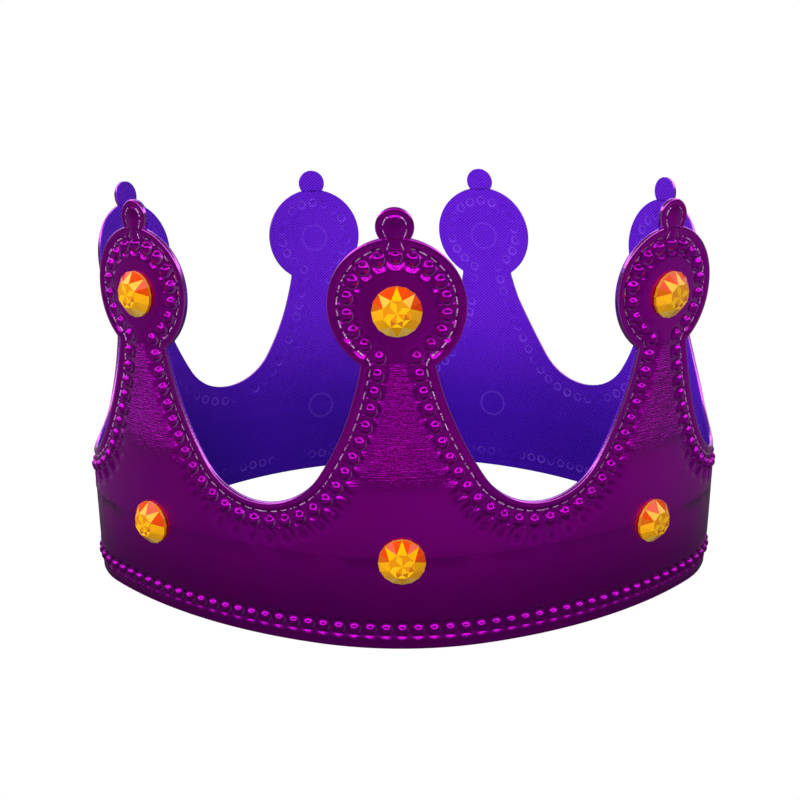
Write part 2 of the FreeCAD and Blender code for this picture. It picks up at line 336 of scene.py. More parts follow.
# %% [markdown]
# ## The relief of the embossed sheet
#
# One function gives the height of the foil at any place of the flat pattern: a pressed
# lip and a groove along the edge, domed beads, each in its own small dip, and shallow
# scallops that run inwards from the beads of the valleys.

# %% Relief
LIP = [(0.0, 0.72), (0.15, 0.95), (0.5, 1.12), (1.3, 1.16), (2.0, 1.0), (2.7, 0.62)]
LIP += [(3.3, 0.8), (4.2, 1.15), (5.4, 1.4), (7.5, 1.55), (99.0, 1.6)]
BOTTOM_LIP = [(0.0, 0.75), (0.15, 0.95), (0.5, 1.1), (1.3, 1.1), (1.9, 0.8), (2.5, 1.2)]
BOTTOM_LIP += [(3.2, 1.3), (4.0, 1.2), (8.5, 1.35), (10.5, 1.55), (99.0, 1.6)]
BEAD_RADIUS, DOME_BASE, DOME_RISE = 1.75, 0.85, 1.45
DIP_DEPTH, DIP_START, DIP_WIDTH = 0.95, 1.7, 1.9
SCALLOP_HALF_WIDTH, SCALLOP_SOFT, SCALLOP_END = 0.5, 2.0, 2.2
BOTTOM_BAND, NEAR_BEAD = 12.0, 9.0


def along_line(line, x):
    """The height of a profile, given as (inset, height) corners, at the inset x."""
    for (x0, y0), (x1, y1) in zip(line, line[1:]):
        if x <= x1:
            return y0 + (y1 - y0) * (x - x0) / (x1 - x0)
    return line[-1][1]


def bead_relief(base, s, z, beads):
    """The height where beads lie close by."""
    dip, dome = 0.0, 0.0
    for (bs, bz), (ns, nz), reach in beads:
        ds, dz = s - bs, z - bz
        gap = math.hypot(ds, dz)
        if gap > reach + 4.0:
            continue
        inward = ds * ns + dz * nz
        aside = abs(ds * nz - dz * ns)
        round_dip = 1.0 - smooth((gap - DIP_START) / DIP_WIDTH)
        scallop = 0.0
        if inward > 0.0:
            width = 1.0 - smooth((aside - SCALLOP_HALF_WIDTH) / SCALLOP_SOFT)
            scallop = width * (1.0 - smooth((inward - reach) / SCALLOP_END))
        dip = max(dip, round_dip, scallop)
        if gap < BEAD_RADIUS:
            dome = max(dome, DOME_BASE + DOME_RISE * math.sqrt(1.0 - (gap / BEAD_RADIUS) ** 2))
    return max(base - DIP_DEPTH * dip, dome)


def bottom_bead(s):
    """The nearest bead of the bottom row, written as in BEADS."""
    return (round(s / BOTTOM_STEP) * BOTTOM_STEP, BOTTOM_BEAD_HEIGHT), (0.0, 1.0), 1.0


def bead_marks(s, z):
    """The gap to the nearest bead, and 1 to its lower right, -1 to its upper left."""
    beads = [bottom_bead(s)] if z < BOTTOM_BAND else near_beads(s, z)
    gap, bs, bz = min(((math.dist(b[0], (s, z)), *b[0]) for b in beads), default=(NEAR_BEAD, s, z))
    return gap, ((s - bs) * 0.6 - (z - bz) * 0.8) / max(gap, 0.3)


def near_beads(s, z):
    """The beads in a square round a place."""
    return [b for b in BEADS if abs(b[0][0] - s) < NEAR_BEAD and abs(b[0][1] - z) < NEAR_BEAD]


def relief(s, z, inset):
    """Height of the foil above the lining, on a spike whose middle is at s = 0."""
    base = along_line(LIP, inset)
    if z < BOTTOM_BAND:
        base = along_line(BOTTOM_LIP, z)
        return bead_relief(base, s, z, [bottom_bead(s)])
    return bead_relief(base, s, z, near_beads(s, z))


LINING_THICKNESS, LINING_SHARE = 0.4, 0.1


def lining_relief(s, z, inset):
    """The lining only shows the back of the beads, as soft dimples."""
    return -LINING_THICKNESS + LINING_SHARE * (relief(s, z, inset) - along_line(LIP, min(inset, z)))


# %% [markdown]
# ## One spike of the pattern as a mesh
#
# The edge band is mirrored for the left side. Chords fill the field between the two
# bands, and a finer band carries the bottom beads. Each vertex keeps its flat place,
# its inset and its gap to the nearest bead for the materials.

# %% Flat mesh of one spike
LIP_ROWS = [0.0, 0.15, 0.5, 1.2, 2.0, 2.6, 3.1]
BEAD_ROWS = [-1.7, -1.3, -0.85, -0.45, 0.0, 0.45, 0.85, 1.3, 1.7, 2.3, 3.1]
FIELD_CHORDS, FINE_PER_CHORD = 12, 12
FAR_INSIDE = 50.0
FINE_TOP, FIELD_STEPS = 11.2, 4
BOTTOM_ROWS = [0.0, 0.15, 0.5, 1.1, 1.6, 2.1, 2.7, 3.3, 3.9, 4.5, 5.1, 5.7, 6.3, 6.9, 7.5]
BOTTOM_ROWS += [8.1, 8.8, 9.5, 10.2]


def column_insets(edge_height, bead_inset):
    """The band's insets, with three more rows that reach further down the flank."""
    rows = LIP_ROWS + [bead_inset + row for row in BEAD_ROWS]
    extra = 0.4 + 4.4 * smooth((84.0 - edge_height) / 34.0)
    return rows + [rows[-1] + extra * k / 3 for k in (1, 2, 3)]


def field_heights(low):
    """Heights from just below the valley's band down to the fine rows."""
    steps = range(FIELD_STEPS - 1, -1, -1)
    return [FINE_TOP + (low - FINE_TOP) * k / FIELD_STEPS for k in steps]


ATTRIBUTES = ("flat_s", "flat_z", "edge_run", "edge_inset", "bead_gap", "bead_low")


class Pattern:
    """Collects the flat mesh of a layer: x along, y height, z offset from the lining."""

    def __init__(self, height):
        self.bm = bmesh.new()
        self.height = height
        layers = self.bm.verts.layers.float
        self.keys = [layers.new(name) for name in ATTRIBUTES]

    def vert(self, s, z, inset, run, offset=None):
        """A vertex on the relief, or at the offset given, with its attributes."""
        offset = self.height(s, z, inset) if offset is None else offset
        v = self.bm.verts.new((s, z, offset))
        for key, value in zip(self.keys, (s, z, run, inset, *bead_marks(s, z))):
            v[key] = value
        return v

    def grid(self, rows):
        """A grid of faces, turned so that they look outwards."""
        faces = []
        for upper, lower in zip(rows, rows[1:]):
            for i in range(len(upper) - 1):
                corners = (upper[i], lower[i], lower[i + 1], upper[i + 1])
                faces.append(self.bm.faces.new(corners))
        self.look_out(faces)

    def look_out(self, faces):
        """Turns faces over together if most of them look at the lining."""
        for face in faces:
            face.normal_update()
        if sum(face.normal.z * face.calc_area() for face in faces) < 0.0:
            bmesh.ops.reverse_faces(self.bm, faces=faces)


def run_lengths():
    """Length along the edge, on the line of stitches, at each column."""
    points = [turned(c, r + k * 2.7, a) for c, r, a, k, _ in COLUMNS]
    total, runs = 0.0, [0.0]
    for p, q in zip(points, points[1:]):
        total += math.dist(p, q)
        runs.append(total)
    return runs


def band_rows(pattern, side):
    """The grid of one side's edge band, with the cut edge's wall as its first row."""
    columns = []
    for (centre, radius, angle, sign, bead_inset), run in zip(COLUMNS, run_lengths()):
        edge = turned(centre, radius, angle)
        column = [pattern.vert(side * edge[0], edge[1], 0.0, run, 0.0)]
        for inset in column_insets(edge[1], bead_inset):
            s, z = turned(centre, radius + sign * inset, angle)
            column.append(pattern.vert(side * s, z, inset, run))
        columns.append(column)
    return columns


def flat_spike(height):
    """One spike with the strip below it, from valley to valley."""
    pattern = Pattern(height)
    right, left = band_rows(pattern, 1), band_rows(pattern, -1)
    pattern.grid(right)
    pattern.grid([column[::-1] for column in left])
    chords = []
    for one, other in zip(left, right):
        a, b = one[-1], other[-1]
        chord = [a]
        for i in range(1, FIELD_CHORDS):
            s = a.co.x + (b.co.x - a.co.x) * i / FIELD_CHORDS
            inset = b[pattern.keys[3]] + min(i, FIELD_CHORDS - i)
            chord.append(pattern.vert(s, a.co.y, inset, 0.0))
        chords.append(chord + [b])
    rows = [chords[-1]]
    for z in field_heights(chords[-1][0].co.y):
        rows.append([pattern.vert(v.co.x, z, FAR_INSIDE, 0.0) for v in chords[-1]])
    pattern.grid(chords[:-1] + rows)
    count = FIELD_CHORDS * FINE_PER_CHORD
    fine = []
    for z in BOTTOM_ROWS[::-1]:
        spots = [PITCH * (i / count - 0.5) for i in range(count + 1)]
        fine.append([pattern.vert(s, z, FAR_INSIDE, 0.0) for s in spots])
    fine.append([pattern.vert(v.co.x, 0.0, FAR_INSIDE, 0.0, 0.0) for v in fine[-1]])
    pattern.grid(fine)
    for i in range(FIELD_CHORDS):
        part = fine[0][i * FINE_PER_CHORD : (i + 1) * FINE_PER_CHORD + 1]
        joint = pattern.bm.faces.new((rows[-1][i], *part, rows[-1][i + 1]))
        pattern.look_out([joint])
    return pattern


# %% [markdown]
# ## The little ball on top
#
# The ball is a round patch on a short neck. Its rows follow its own outline, and its
# neck dips under the disc's lip, so the two run together.

# %% Ball patch
NECK = [(4.6, 117.6), (4.2, 119.0), (3.75, 120.4), (3.65, 121.4), (3.9, 122.2)]
NECK_DIP_TOP, NECK_DIP_LENGTH, NECK_DIP_DEPTH = 119.4, 1.8, 0.9
BALL_LIP = [(0.0, 0.75), (0.2, 1.0), (0.6, 1.2), (1.1, 1.15), (1.7, 0.85), (2.3, 1.25), (9.0, 2.1)]
BALL_START, BALL_ROWS, BALL_HALF_COLUMNS = 50.0, 22, 12
# The ball's lip is narrower than the disc's, so its insets are stretched for the stitches.
BALL_INSET_STRETCH = 1.35


def ball_outline():
    """Half widths (half width, height) of the neck and the ball, from the neck up."""
    points = list(NECK)
    for i in range(BALL_ROWS):
        share = (i + 0.2) / (BALL_ROWS - 0.8)
        angle = math.radians(BALL_START + (180.0 - BALL_START) * share)
        points.append(turned((0.0, BALL_HEIGHT), BALL_RADIUS, angle))
    return points


def ball_height(share, width, z):
    """Lip, groove and domed middle of the ball."""
    inset = (1.0 - abs(share)) * width
    if z > BALL_HEIGHT:
        inset = BALL_RADIUS - math.hypot(share * width, z - BALL_HEIGHT)
    neck_dip = NECK_DIP_DEPTH * smooth((NECK_DIP_TOP - z) / NECK_DIP_LENGTH)
    return along_line(BALL_LIP, inset) - neck_dip, inset


def add_ball(pattern, scale=1.0, base=0.0):
    """Adds the patch; scale and base turn its heights into offsets from the lining."""
    rows = []
    for width, z in ball_outline():
        row = [pattern.vert(-width, z, 0.0, z, 0.0)]
        for i in range(2 * BALL_HALF_COLUMNS + 1):
            share = math.sin(math.pi / 2 * (i / BALL_HALF_COLUMNS - 1))
            height, inset = ball_height(share, width, z)
            inset, offset = inset * BALL_INSET_STRETCH, base + scale * height
            row.append(pattern.vert(share * width, z, inset, z, offset))
        row.append(pattern.vert(width, z, 0.0, z, 0.0))
        rows.append(row)
    pattern.grid(rows[::-1])


# %% [markdown]
# ## The whole strip
#
# The spike is repeated seven times, the two plain ends are added, and the flat mesh
# is bent round the plan.

# %% Strip
TAB_COLUMNS, MERGE_GAP, SHORTEST_EDGE = 10, 0.004, 0.001


def end_tab(pattern, start, end):
    """The plain piece between the last valley and the strip's end, with the end's wall."""
    last = max(start, end, key=abs)
    insets = column_insets(VALLEY_HEIGHT, VALLEY_INSET)
    between = field_heights(VALLEY_HEIGHT - insets[-1])[::-1]
    heights = [(0.0, FAR_INSIDE, 0.0)]
    heights += [(z, FAR_INSIDE, None) for z in BOTTOM_ROWS + between]
    heights += [(VALLEY_HEIGHT - inset, inset, None) for inset in insets[::-1]]
    heights.append((VALLEY_HEIGHT, 0.0, 0.0))
    rows = []
    for z, inset, offset in heights[::-1]:
        row = []
        for i in range(TAB_COLUMNS + 1):
            s = start + (end - start) * i / TAB_COLUMNS
            local = abs(s) - 3 * PITCH
            v = pattern.vert(local, z, inset, abs(s), offset)
            v.co.x, v[pattern.keys[0]] = s, s
            row.append(v)
        tip = pattern.vert(abs(last) - 3 * PITCH, z, inset, abs(last), 0.0)
        tip.co.x, tip[pattern.keys[0]] = last, last
        rows.append([tip] + row if last == start else row + [tip])
    pattern.grid(rows)


def strip(name, height, ball_scale, ball_base, flip):
    """The whole layer, bent into the ring, as a new object."""
    pattern = flat_spike(height)
    add_ball(pattern, ball_scale, ball_base)
    bm, key = pattern.bm, pattern.keys[0]
    spike = list(bm.verts) + list(bm.edges) + list(bm.faces)
    for number in (1, -1, 2, -2, 3, -3):
        copy = bmesh.ops.duplicate(bm, geom=spike)["geom"]
        for v in copy:
            if isinstance(v, bmesh.types.BMVert):
                v.co.x += number * PITCH
                v[key] += number * PITCH
    end_tab(pattern, LEFT_END, -3.5 * PITCH)
    end_tab(pattern, 3.5 * PITCH, RIGHT_END)
    bmesh.ops.remove_doubles(bm, verts=bm.verts, dist=MERGE_GAP)
    bmesh.ops.dissolve_degenerate(bm, edges=bm.edges, dist=SHORTEST_EDGE)
    bend_all(bm)
    if flip:
        bmesh.ops.reverse_faces(bm, faces=bm.faces)
    mesh = bpy.data.meshes.new(name)
    for face in bm.faces:
        face.smooth = True
    bm.to_mesh(mesh)
    bm.free()
    piece = bpy.data.objects.new(name, mesh)
    bpy.context.scene.collection.objects.link(piece)
    print(name, len(mesh.vertices), "vertices", len(mesh.polygons), "faces")
    return piece


foil_sheet = strip("foil_sheet", relief, 1.0, 0.0, False)
woven_lining = strip("woven_lining", lining_relief, -LINING_SHARE, -LINING_THICKNESS, True)

# %% [markdown]
# ## The stones
#
# Each stone is a flat-backed cut: a round girdle, a table, eight pointed facets that
# reach the girdle like a star, and pairs of small facets between the points. What one
# sees through the table is set into it as a second, smaller star.

# %% Stones
STONE_RADIUS, GIRDLE_HEIGHT, STONE_HEIGHT, TABLE_RADIUS = 6.95, 0.9, 3.7, 3.9
UPPER_STONE_HEIGHT, LOWER_STONE_HEIGHT = DISC_HEIGHT - 0.8, 28.8
GIRDLE_SIDES, TABLE_SIDES, INNER_RADIUS, TABLE_DIP = 16, 8, 2.5, 0.02
# The stones' backs are pressed a little into the foil, whose field is 1.6 mm thick.
STONE_SEAT = 1.58
# Painted reflections: each facet gets one flat tone by the way it faces, for what the clear stone
# reflects and shows through its table.
AMBER_AND_REFLECTIONS = {
    "table": "E89400",
    "table_dark": "B96A08",
    "table_light": "FFC40A",
    "star": "F5B000",
    "star_low": "FFB60A",
    "red": "D83200",
    "ember": "C85A08",
    "pale": "FFD85A",
    "girdle": "D98A10",
}


def linear(code):
    """Linear RGBA of a hex sRGB colour."""
    parts = [int(code[i : i + 2], 16) / 255 for i in (0, 2, 4)]
    return [c / 12.92 if c <= 0.04045 else ((c + 0.055) / 1.055) ** 2.4 for c in parts] + [1.0]


def star_reflection_tone(turn, height):
    """The painted reflection of a small facet between two points, by where it looks."""
    if height > 0.35:
        return "red"
    if height > -0.25:
        return "ember" if turn < 0 else "red"
    return "pale" if height < -0.6 else "star_low"


def stone_mesh():
    """A stone in millimetres, its back at z = 0, with a painted reflection tone for each facet."""
    bm = bmesh.new()
    tone = bm.loops.layers.float_color.new("tone")

    def ring(radius, height, count, start=0.0):
        spots = [math.radians(start + 360 * i / count) for i in range(count)]
        return [bm.verts.new((radius * math.cos(a), radius * math.sin(a), height)) for a in spots]

    def facet(name, *verts):
        face = bm.faces.new(verts)
        for loop in face.loops:
            loop[tone] = linear(AMBER_AND_REFLECTIONS[name])

    back = ring(STONE_RADIUS, 0.0, GIRDLE_SIDES)
    girdle = ring(STONE_RADIUS, GIRDLE_HEIGHT, GIRDLE_SIDES)
    table = ring(TABLE_RADIUS, STONE_HEIGHT, TABLE_SIDES, 22.5)
    inner = ring(INNER_RADIUS, STONE_HEIGHT - TABLE_DIP, TABLE_SIDES)
    centre = bm.verts.new((0.0, 0.0, STONE_HEIGHT))
    facet("girdle", *back[::-1])
    for i in range(GIRDLE_SIDES):
        after = (i + 1) % GIRDLE_SIDES
        facet("girdle", back[i], back[after], girdle[after], girdle[i])
    for i in range(TABLE_SIDES):
        before, after = table[i - 1], table[i]
        point, between = girdle[2 * i], girdle[2 * i + 1]
        next_point = girdle[(2 * i + 2) % GIRDLE_SIDES]
        height = math.sin(math.radians(45 * i + 22.5))
        turn = math.cos(math.radians(45 * i + 22.5))
        facet("star" if height > 0 else "star_low", before, point, after)
        facet(star_reflection_tone(turn, height), after, point, between)
        facet(star_reflection_tone(turn, height - 0.1), after, between, next_point)
        low = math.sin(math.radians(45 * i)) < -0.3
        facet("table_light" if low else "table", before, after, inner[i])
        shade = "table_dark" if i in (5, 6, 7) else ("table" if i % 2 else "table_light")
        facet(shade, inner[i], after, inner[(i + 1) % TABLE_SIDES])
        light = "table" if i % 2 else "table_light"
        facet(light, centre, inner[i], inner[(i + 1) % TABLE_SIDES])
    return bm


def stones(name, height):
    """Seven stones on the strip at one height, as one object."""
    whole = bmesh.new()
    for number in SPIKES:
        s = number * PITCH
        place = bend(s, height, STONE_SEAT)
        along = bend(s + 2, height, STONE_SEAT) - bend(s - 2, height, STONE_SEAT)
        up = bend(s, height + 2, STONE_SEAT) - bend(s, height - 2, STONE_SEAT)
        along, up = along.normalized(), up.normalized()
        out = along.cross(up).normalized()
        up = out.cross(along)
        bm = stone_mesh()
        turn = Matrix((along, up, out)).transposed().to_4x4()
        bm.transform(Matrix.Translation(place) @ turn @ Matrix.Scale(MM, 4))
        piece = bpy.data.meshes.new(name)
        bm.to_mesh(piece)
        bm.free()
        whole.from_mesh(piece)
        bpy.data.meshes.remove(piece)
    mesh = bpy.data.meshes.new(name)
    whole.to_mesh(mesh)
    whole.free()
    obj = bpy.data.objects.new(name, mesh)
    bpy.context.scene.collection.objects.link(obj)
    print(name, len(mesh.polygons), "facets")
    return obj


upper_stones = stones("upper_stones", UPPER_STONE_HEIGHT)
lower_stones = stones("lower_stones", LOWER_STONE_HEIGHT)

# %% [markdown]
# ## Materials
#
# Every material is a small node tree. `add` makes a node and sets its sockets and
# settings in one line, and the flat places that the mesh carries give each pattern
# its real size in millimetres.

# %% Node helpers
def new_material(name):
    """A new material with its tree and its Principled shader."""
    material = bpy.data.materials.new(name)
    material.use_nodes = True
    tree = material.node_tree
    return material, tree, tree.nodes["Principled BSDF"]


def add(tree, kind, inputs=None, **settings):
    """Adds a node, sets its properties, and sets or links its inputs."""
    node = tree.nodes.new(kind)
    for key, value in settings.items():
        setattr(node, key, value)
    for key, value in (inputs or {}).items():
        if isinstance(value, bpy.types.NodeSocket):
            tree.links.new(value, node.inputs[key])
        else:
            node.inputs[key].default_value = value
    return node


def calc(tree, operation, a, b=0.0, c=0.0):
    """The output of a Math node."""
    return add(tree, "ShaderNodeMath", {0: a, 1: b, 2: c}, operation=operation).outputs[0]


def ramp_between(tree, value, low, high):
    """0 below low, 1 above high, smooth between."""
    return add(
        tree,
        "ShaderNodeMapRange",
        {"Value": value, "From Min": low, "From Max": high},
        interpolation_type="SMOOTHSTEP",
    ).outputs["Result"]


def flat_place(tree):
    """The flat pattern's place, and each attribute of the mesh, in millimetres."""
    nodes = [add(tree, "ShaderNodeAttribute", attribute_name=name) for name in ATTRIBUTES]
    values = [node.outputs["Fac"] for node in nodes]
    place = add(tree, "ShaderNodeCombineXYZ", {0: values[0], 1: values[1]}).outputs[0]
    return place, dict(zip(ATTRIBUTES, values))


def line_at(tree, value, middle, core, edge):
    """1 where a value is within core of the middle, 0 beyond edge."""
    off = calc(tree, "ABSOLUTE", calc(tree, "SUBTRACT", value, middle))
    return calc(tree, "SUBTRACT", 1.0, ramp_between(tree, off, core, edge))


def noise(tree, place, scale, detail):
    inputs = {"Vector": place, "Scale": scale, "Detail": detail}
    return add(tree, "ShaderNodeTexNoise", inputs).outputs["Fac"]


def mixed(tree, share, first, second):
    """A colour between two others, each of them a value or a socket."""
    node = add(tree, "ShaderNodeMix", {0: share}, data_type="RGBA")
    for socket, value in ((node.inputs[6], first), (node.inputs[7], second)):
        if isinstance(value, bpy.types.NodeSocket):
            tree.links.new(value, socket)
        else:
            socket.default_value = value
    return node.outputs[2]


# %% [markdown]
# ### Embossed foil
# A dyed metal film over thin foam. Fine crinkles run across the necks, the field has
# slow swells, and raised stitches lie in the groove beside the lip, painted pale as a
# highlight. A thin pale crescent is also painted as a highlight at the lower right of each bead.

# %% Foil
STITCH_PITCH, STITCH_SHARE, STITCH_INSET = 3.3, 0.66, 2.75
CRESCENT_GAP = 1.85
NECK_LOW, NECK_HIGH, NECK_SIDE = (46.0, 62.0), (84.0, 90.0), (7.0, 9.5)


def neck_share(tree, flat):
    """1 in the middle of the necks, where the foil is crinkled."""
    low = ramp_between(tree, flat["flat_z"], *NECK_LOW)
    high = calc(tree, "SUBTRACT", 1.0, ramp_between(tree, flat["flat_z"], *NECK_HIGH))
    inside = ramp_between(tree, flat["edge_inset"], *NECK_SIDE)
    return calc(tree, "MULTIPLY", calc(tree, "MULTIPLY", low, high), inside)


def stitch_highlight_share(tree, flat, grain):
    """1 on the stitches of the groove beside the lip, a little broken up; the foil paints them pale
    as a highlight.
    """
    phase = calc(tree, "FRACT", calc(tree, "DIVIDE", flat["edge_run"], STITCH_PITCH))
    dash = calc(tree, "LESS_THAN", phase, STITCH_SHARE)
    line = line_at(tree, flat["edge_inset"], STITCH_INSET, 0.08, 0.26)
    broken = ramp_between(tree, grain, 0.36, 0.52)
    return calc(tree, "MULTIPLY", calc(tree, "MULTIPLY", dash, line), broken)


def foil_material():
    material, tree, shader = new_material("metallic_purple_foil")
    place, flat = flat_place(tree)
    # Crinkles are 5 mm long and 0.4 mm high; the grain is a soft 0.6 mm mottle.
    sockets = {0: place, 1: (0.22, 2.4, 1.0)}
    stretched = add(tree, "ShaderNodeVectorMath", sockets, operation="MULTIPLY").outputs[0]
    crinkle = noise(tree, stretched, 1.0, 4.0)
    grain = noise(tree, place, 1.6, 4.0)
    swell = noise(tree, place, 0.05, 2.0)
    stitch_and_highlight = stitch_highlight_share(tree, flat, grain)
    rim = calc(tree, "SUBTRACT", 1.0, ramp_between(tree, flat["edge_inset"], 0.1, 0.45))
    # Painted highlight: a thin pale crescent just outside each bead, on its lower right side.
    ring = line_at(tree, flat["bead_gap"], CRESCENT_GAP, 0.05, 0.25)
    painted_crescent_highlight = calc(tree, "MULTIPLY", ring, ramp_between(tree, flat["bead_low"], -0.1, 0.7))
    painted_crescent_highlight = calc(tree, "MULTIPLY", painted_crescent_highlight, 0.5)
    film = mixed(tree, swell, linear("D010C8"), linear("B80CCC"))
    film = mixed(tree, calc(tree, "MULTIPLY", rim, 0.6), film, linear("E48CF0"))
    film = mixed(tree, painted_crescent_highlight, film, linear("E0A0F0"))
    # Painted highlight: the stitches are coloured pale and made less metallic for the light that
    # their raised dashes catch.
    film = mixed(tree, calc(tree, "MULTIPLY", stitch_and_highlight, 0.85), film, linear("F4D4F6"))
    tree.links.new(film, shader.inputs["Base Color"])
    rough = calc(tree, "MULTIPLY_ADD", grain, 0.16, 0.16)
    rough = calc(tree, "MULTIPLY_ADD", calc(tree, "MAXIMUM", stitch_and_highlight, painted_crescent_highlight), 0.3, rough)
    tree.links.new(rough, shader.inputs["Roughness"])
    tree.links.new(calc(tree, "MULTIPLY_ADD", stitch_and_highlight, -0.6, 1.0), shader.inputs["Metallic"])
    ridges = calc(tree, "MULTIPLY", crinkle, neck_share(tree, flat))
    normal = None
    for height, distance, strength in (
        (ridges, 0.0009, 0.8),
        (grain, 0.00006, 0.8),
        (stitch_and_highlight, 0.0002, 0.6),
    ):
        sockets = {"Height": height, "Distance": distance, "Strength": strength}
        if normal:
            sockets["Normal"] = normal
        normal = add(tree, "ShaderNodeBump", sockets).outputs[0]
    tree.links.new(normal, shader.inputs["Normal"])
    print("Material:", material.name)
    return material


foil_sheet.data.materials.append(foil_material())

# %% [markdown]
# ### Woven lining
#
# A blue-violet twill: diagonal ribs about a millimetre apart, with the backs of the
# beads showing as faint pale rings, and painted shade that darkens it towards the bottom.

# %% Lining
MARK_RADIUS = 0.75 * STONE_RADIUS
BEAD_MARK = 1.5
TWILL_SLOPE, TWILL_WAVES, CROSS_WAVES = 0.8, 5.4, 9.0


def stone_mark(tree, flat, height):
    """A thin ring on the lining where a stone is fixed on the other side."""
    local = calc(tree, "WRAP", flat["flat_s"], PITCH / 2, -PITCH / 2)
    rise = calc(tree, "SUBTRACT", flat["flat_z"], height)
    away = add(tree, "ShaderNodeCombineXYZ", {0: local, 1: rise}).outputs[0]
    reach = add(tree, "ShaderNodeVectorMath", {0: away}, operation="LENGTH")
    return line_at(tree, reach.outputs["Value"], MARK_RADIUS, 0.1, 0.7)


def lining_material():
    material, tree, shader = new_material("violet_twill_fabric")
    place, flat = flat_place(tree)
    s, z = flat["flat_s"], flat["flat_z"]
    slant = calc(tree, "MULTIPLY_ADD", s, TWILL_SLOPE, z)
    wave = calc(tree, "SINE", calc(tree, "MULTIPLY", slant, TWILL_WAVES))
    weft = calc(tree, "MULTIPLY", calc(tree, "SUBTRACT", z, s), CROSS_WAVES)
    rib = calc(tree, "MULTIPLY_ADD", calc(tree, "SINE", weft), 0.25, wave)
    cloud = noise(tree, place, 0.08, 3.0)
    fibre = noise(tree, place, 2.2, 3.0)
    cloth = mixed(tree, ramp_between(tree, rib, -1.2, 1.2), linear("280494"), linear("7A20F0"))
    cloth = mixed(tree, calc(tree, "MULTIPLY", cloud, 0.5), cloth, linear("7420DC"))
    # Painted shade: the cloth turns dark navy towards the bottom of the strip, where the ring
    # shades the inside.
    dark = calc(tree, "SUBTRACT", 1.0, ramp_between(tree, z, 20.0, 78.0))
    cloth = mixed(tree, calc(tree, "MULTIPLY", dark, 0.75), cloth, linear("22008A"))
    worn = calc(tree, "MULTIPLY", ramp_between(tree, fibre, 0.6, 0.8), 0.3)
    beads = line_at(tree, flat["bead_gap"], BEAD_MARK, 0.1, 0.5)
    beads = calc(tree, "MULTIPLY", beads, ramp_between(tree, cloud, 0.4, 0.65))
    upper = stone_mark(tree, flat, UPPER_STONE_HEIGHT)
    rings = calc(tree, "MAXIMUM", upper, stone_mark(tree, flat, LOWER_STONE_HEIGHT))
    beads, rings = calc(tree, "MULTIPLY", beads, 0.4), calc(tree, "MULTIPLY", rings, 0.16)
    marks = calc(tree, "MAXIMUM", beads, rings)
    cloth = mixed(tree, calc(tree, "MAXIMUM", worn, marks), cloth, linear("9058F0"))
    tree.links.new(cloth, shader.inputs["Base Color"])
    shader.inputs["Roughness"].default_value = 0.75
    shader.inputs["Specular IOR Level"].default_value = 0.2
    raised = calc(tree, "MULTIPLY_ADD", marks, 1.5, rib)
    bump = add(tree, "ShaderNodeBump", {"Height": raised, "Distance": 0.00008, "Strength": 0.6})
    tree.links.new(bump.outputs[0], shader.inputs["Normal"])
    print("Material:", material.name)
    return material


woven_lining.data.materials.append(lining_material())

# %% [markdown]
# ### Amber acrylic and fastener tape
#
# The stones are clear moulded acrylic with a mirror back: each facet shows one bright
# tone, painted for what it reflects, and a small painted glow brightens them. The tape is
# a dull mat of 0.6 mm loops.

# %% Stones and tapes
def amber_material():
    material, tree, shader = new_material("amber_acrylic")
    tone = add(tree, "ShaderNodeAttribute", attribute_name="tone").outputs["Color"]
    place = add(tree, "ShaderNodeTexCoord").outputs["Object"]
    cloud = noise(tree, place, 420.0, 2.0)
    deep = mixed(tree, calc(tree, "MULTIPLY", cloud, 0.35), tone, linear("C86A00"))
    tree.links.new(deep, shader.inputs["Base Color"])
    tree.links.new(deep, shader.inputs["Emission Color"])
    # Painted light: a small glow in the stone's own tone stands for light thrown back by the mirror
    # back.
    shader.inputs["Emission Strength"].default_value = 0.12
    shader.inputs["Roughness"].default_value = 0.08
    print("Material:", material.name)
    return material


def tape_material():
    material, tree, shader = new_material("fastener_tape_fabric")
    place = add(tree, "ShaderNodeTexCoord").outputs["Object"]
    loops = add(tree, "ShaderNodeTexVoronoi", {"Vector": place, "Scale": 1600.0})
    height = loops.outputs["Distance"]
    tape = mixed(tree, height, linear("30107A"), linear("180640"))
    tree.links.new(tape, shader.inputs["Base Color"])
    shader.inputs["Roughness"].default_value = 0.9
    bump = add(tree, "ShaderNodeBump", {"Height": height, "Distance": 0.0004})
    tree.links.new(bump.outputs[0], shader.inputs["Normal"])
    print("Material:", material.name)
    return material


amber = amber_material()
for piece in (upper_stones, lower_stones):
    piece.data.materials.append(amber)
tape = tape_material()
for node in ("hook_tape", "loop_tape"):
    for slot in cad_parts[node].material_slots:
        slot.material = tape

# %% [markdown]
# ## Where each piece belongs
#
# The new pieces ride on the one body, and the CAD nodes they replace are hidden.

# %% Attach
UPPER_NODES = ["upper_gem_%d" % n for n in range(1, 8)]
LOWER_NODES = ["lower_gem_%d" % n for n in range(1, 8)]
for piece, slot, nodes in (
    (foil_sheet, "foil", ["front_sheet"]),
    (woven_lining, "lining", ["lining"]),
    (upper_stones, "stone", UPPER_NODES),
    (lower_stones, "stone", LOWER_NODES),
):
    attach(piece, "root")
    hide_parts(*nodes)

# %% [markdown]
# ## The floor
#
# The floor is pure white to the camera. The foil mirrors something else: a faint sheet
# with soft patches, and a painted shadow that darkens it close to the crown.

# %% Floor
def white_to_camera(tree, unseen, white):
    """Mixes a white that only the camera sees with what lights the crown."""
    seen = add(tree, "ShaderNodeLightPath").outputs["Is Camera Ray"]
    return add(tree, "ShaderNodeMixShader", {0: seen, 1: unseen.outputs[0], 2: white.outputs[0]})


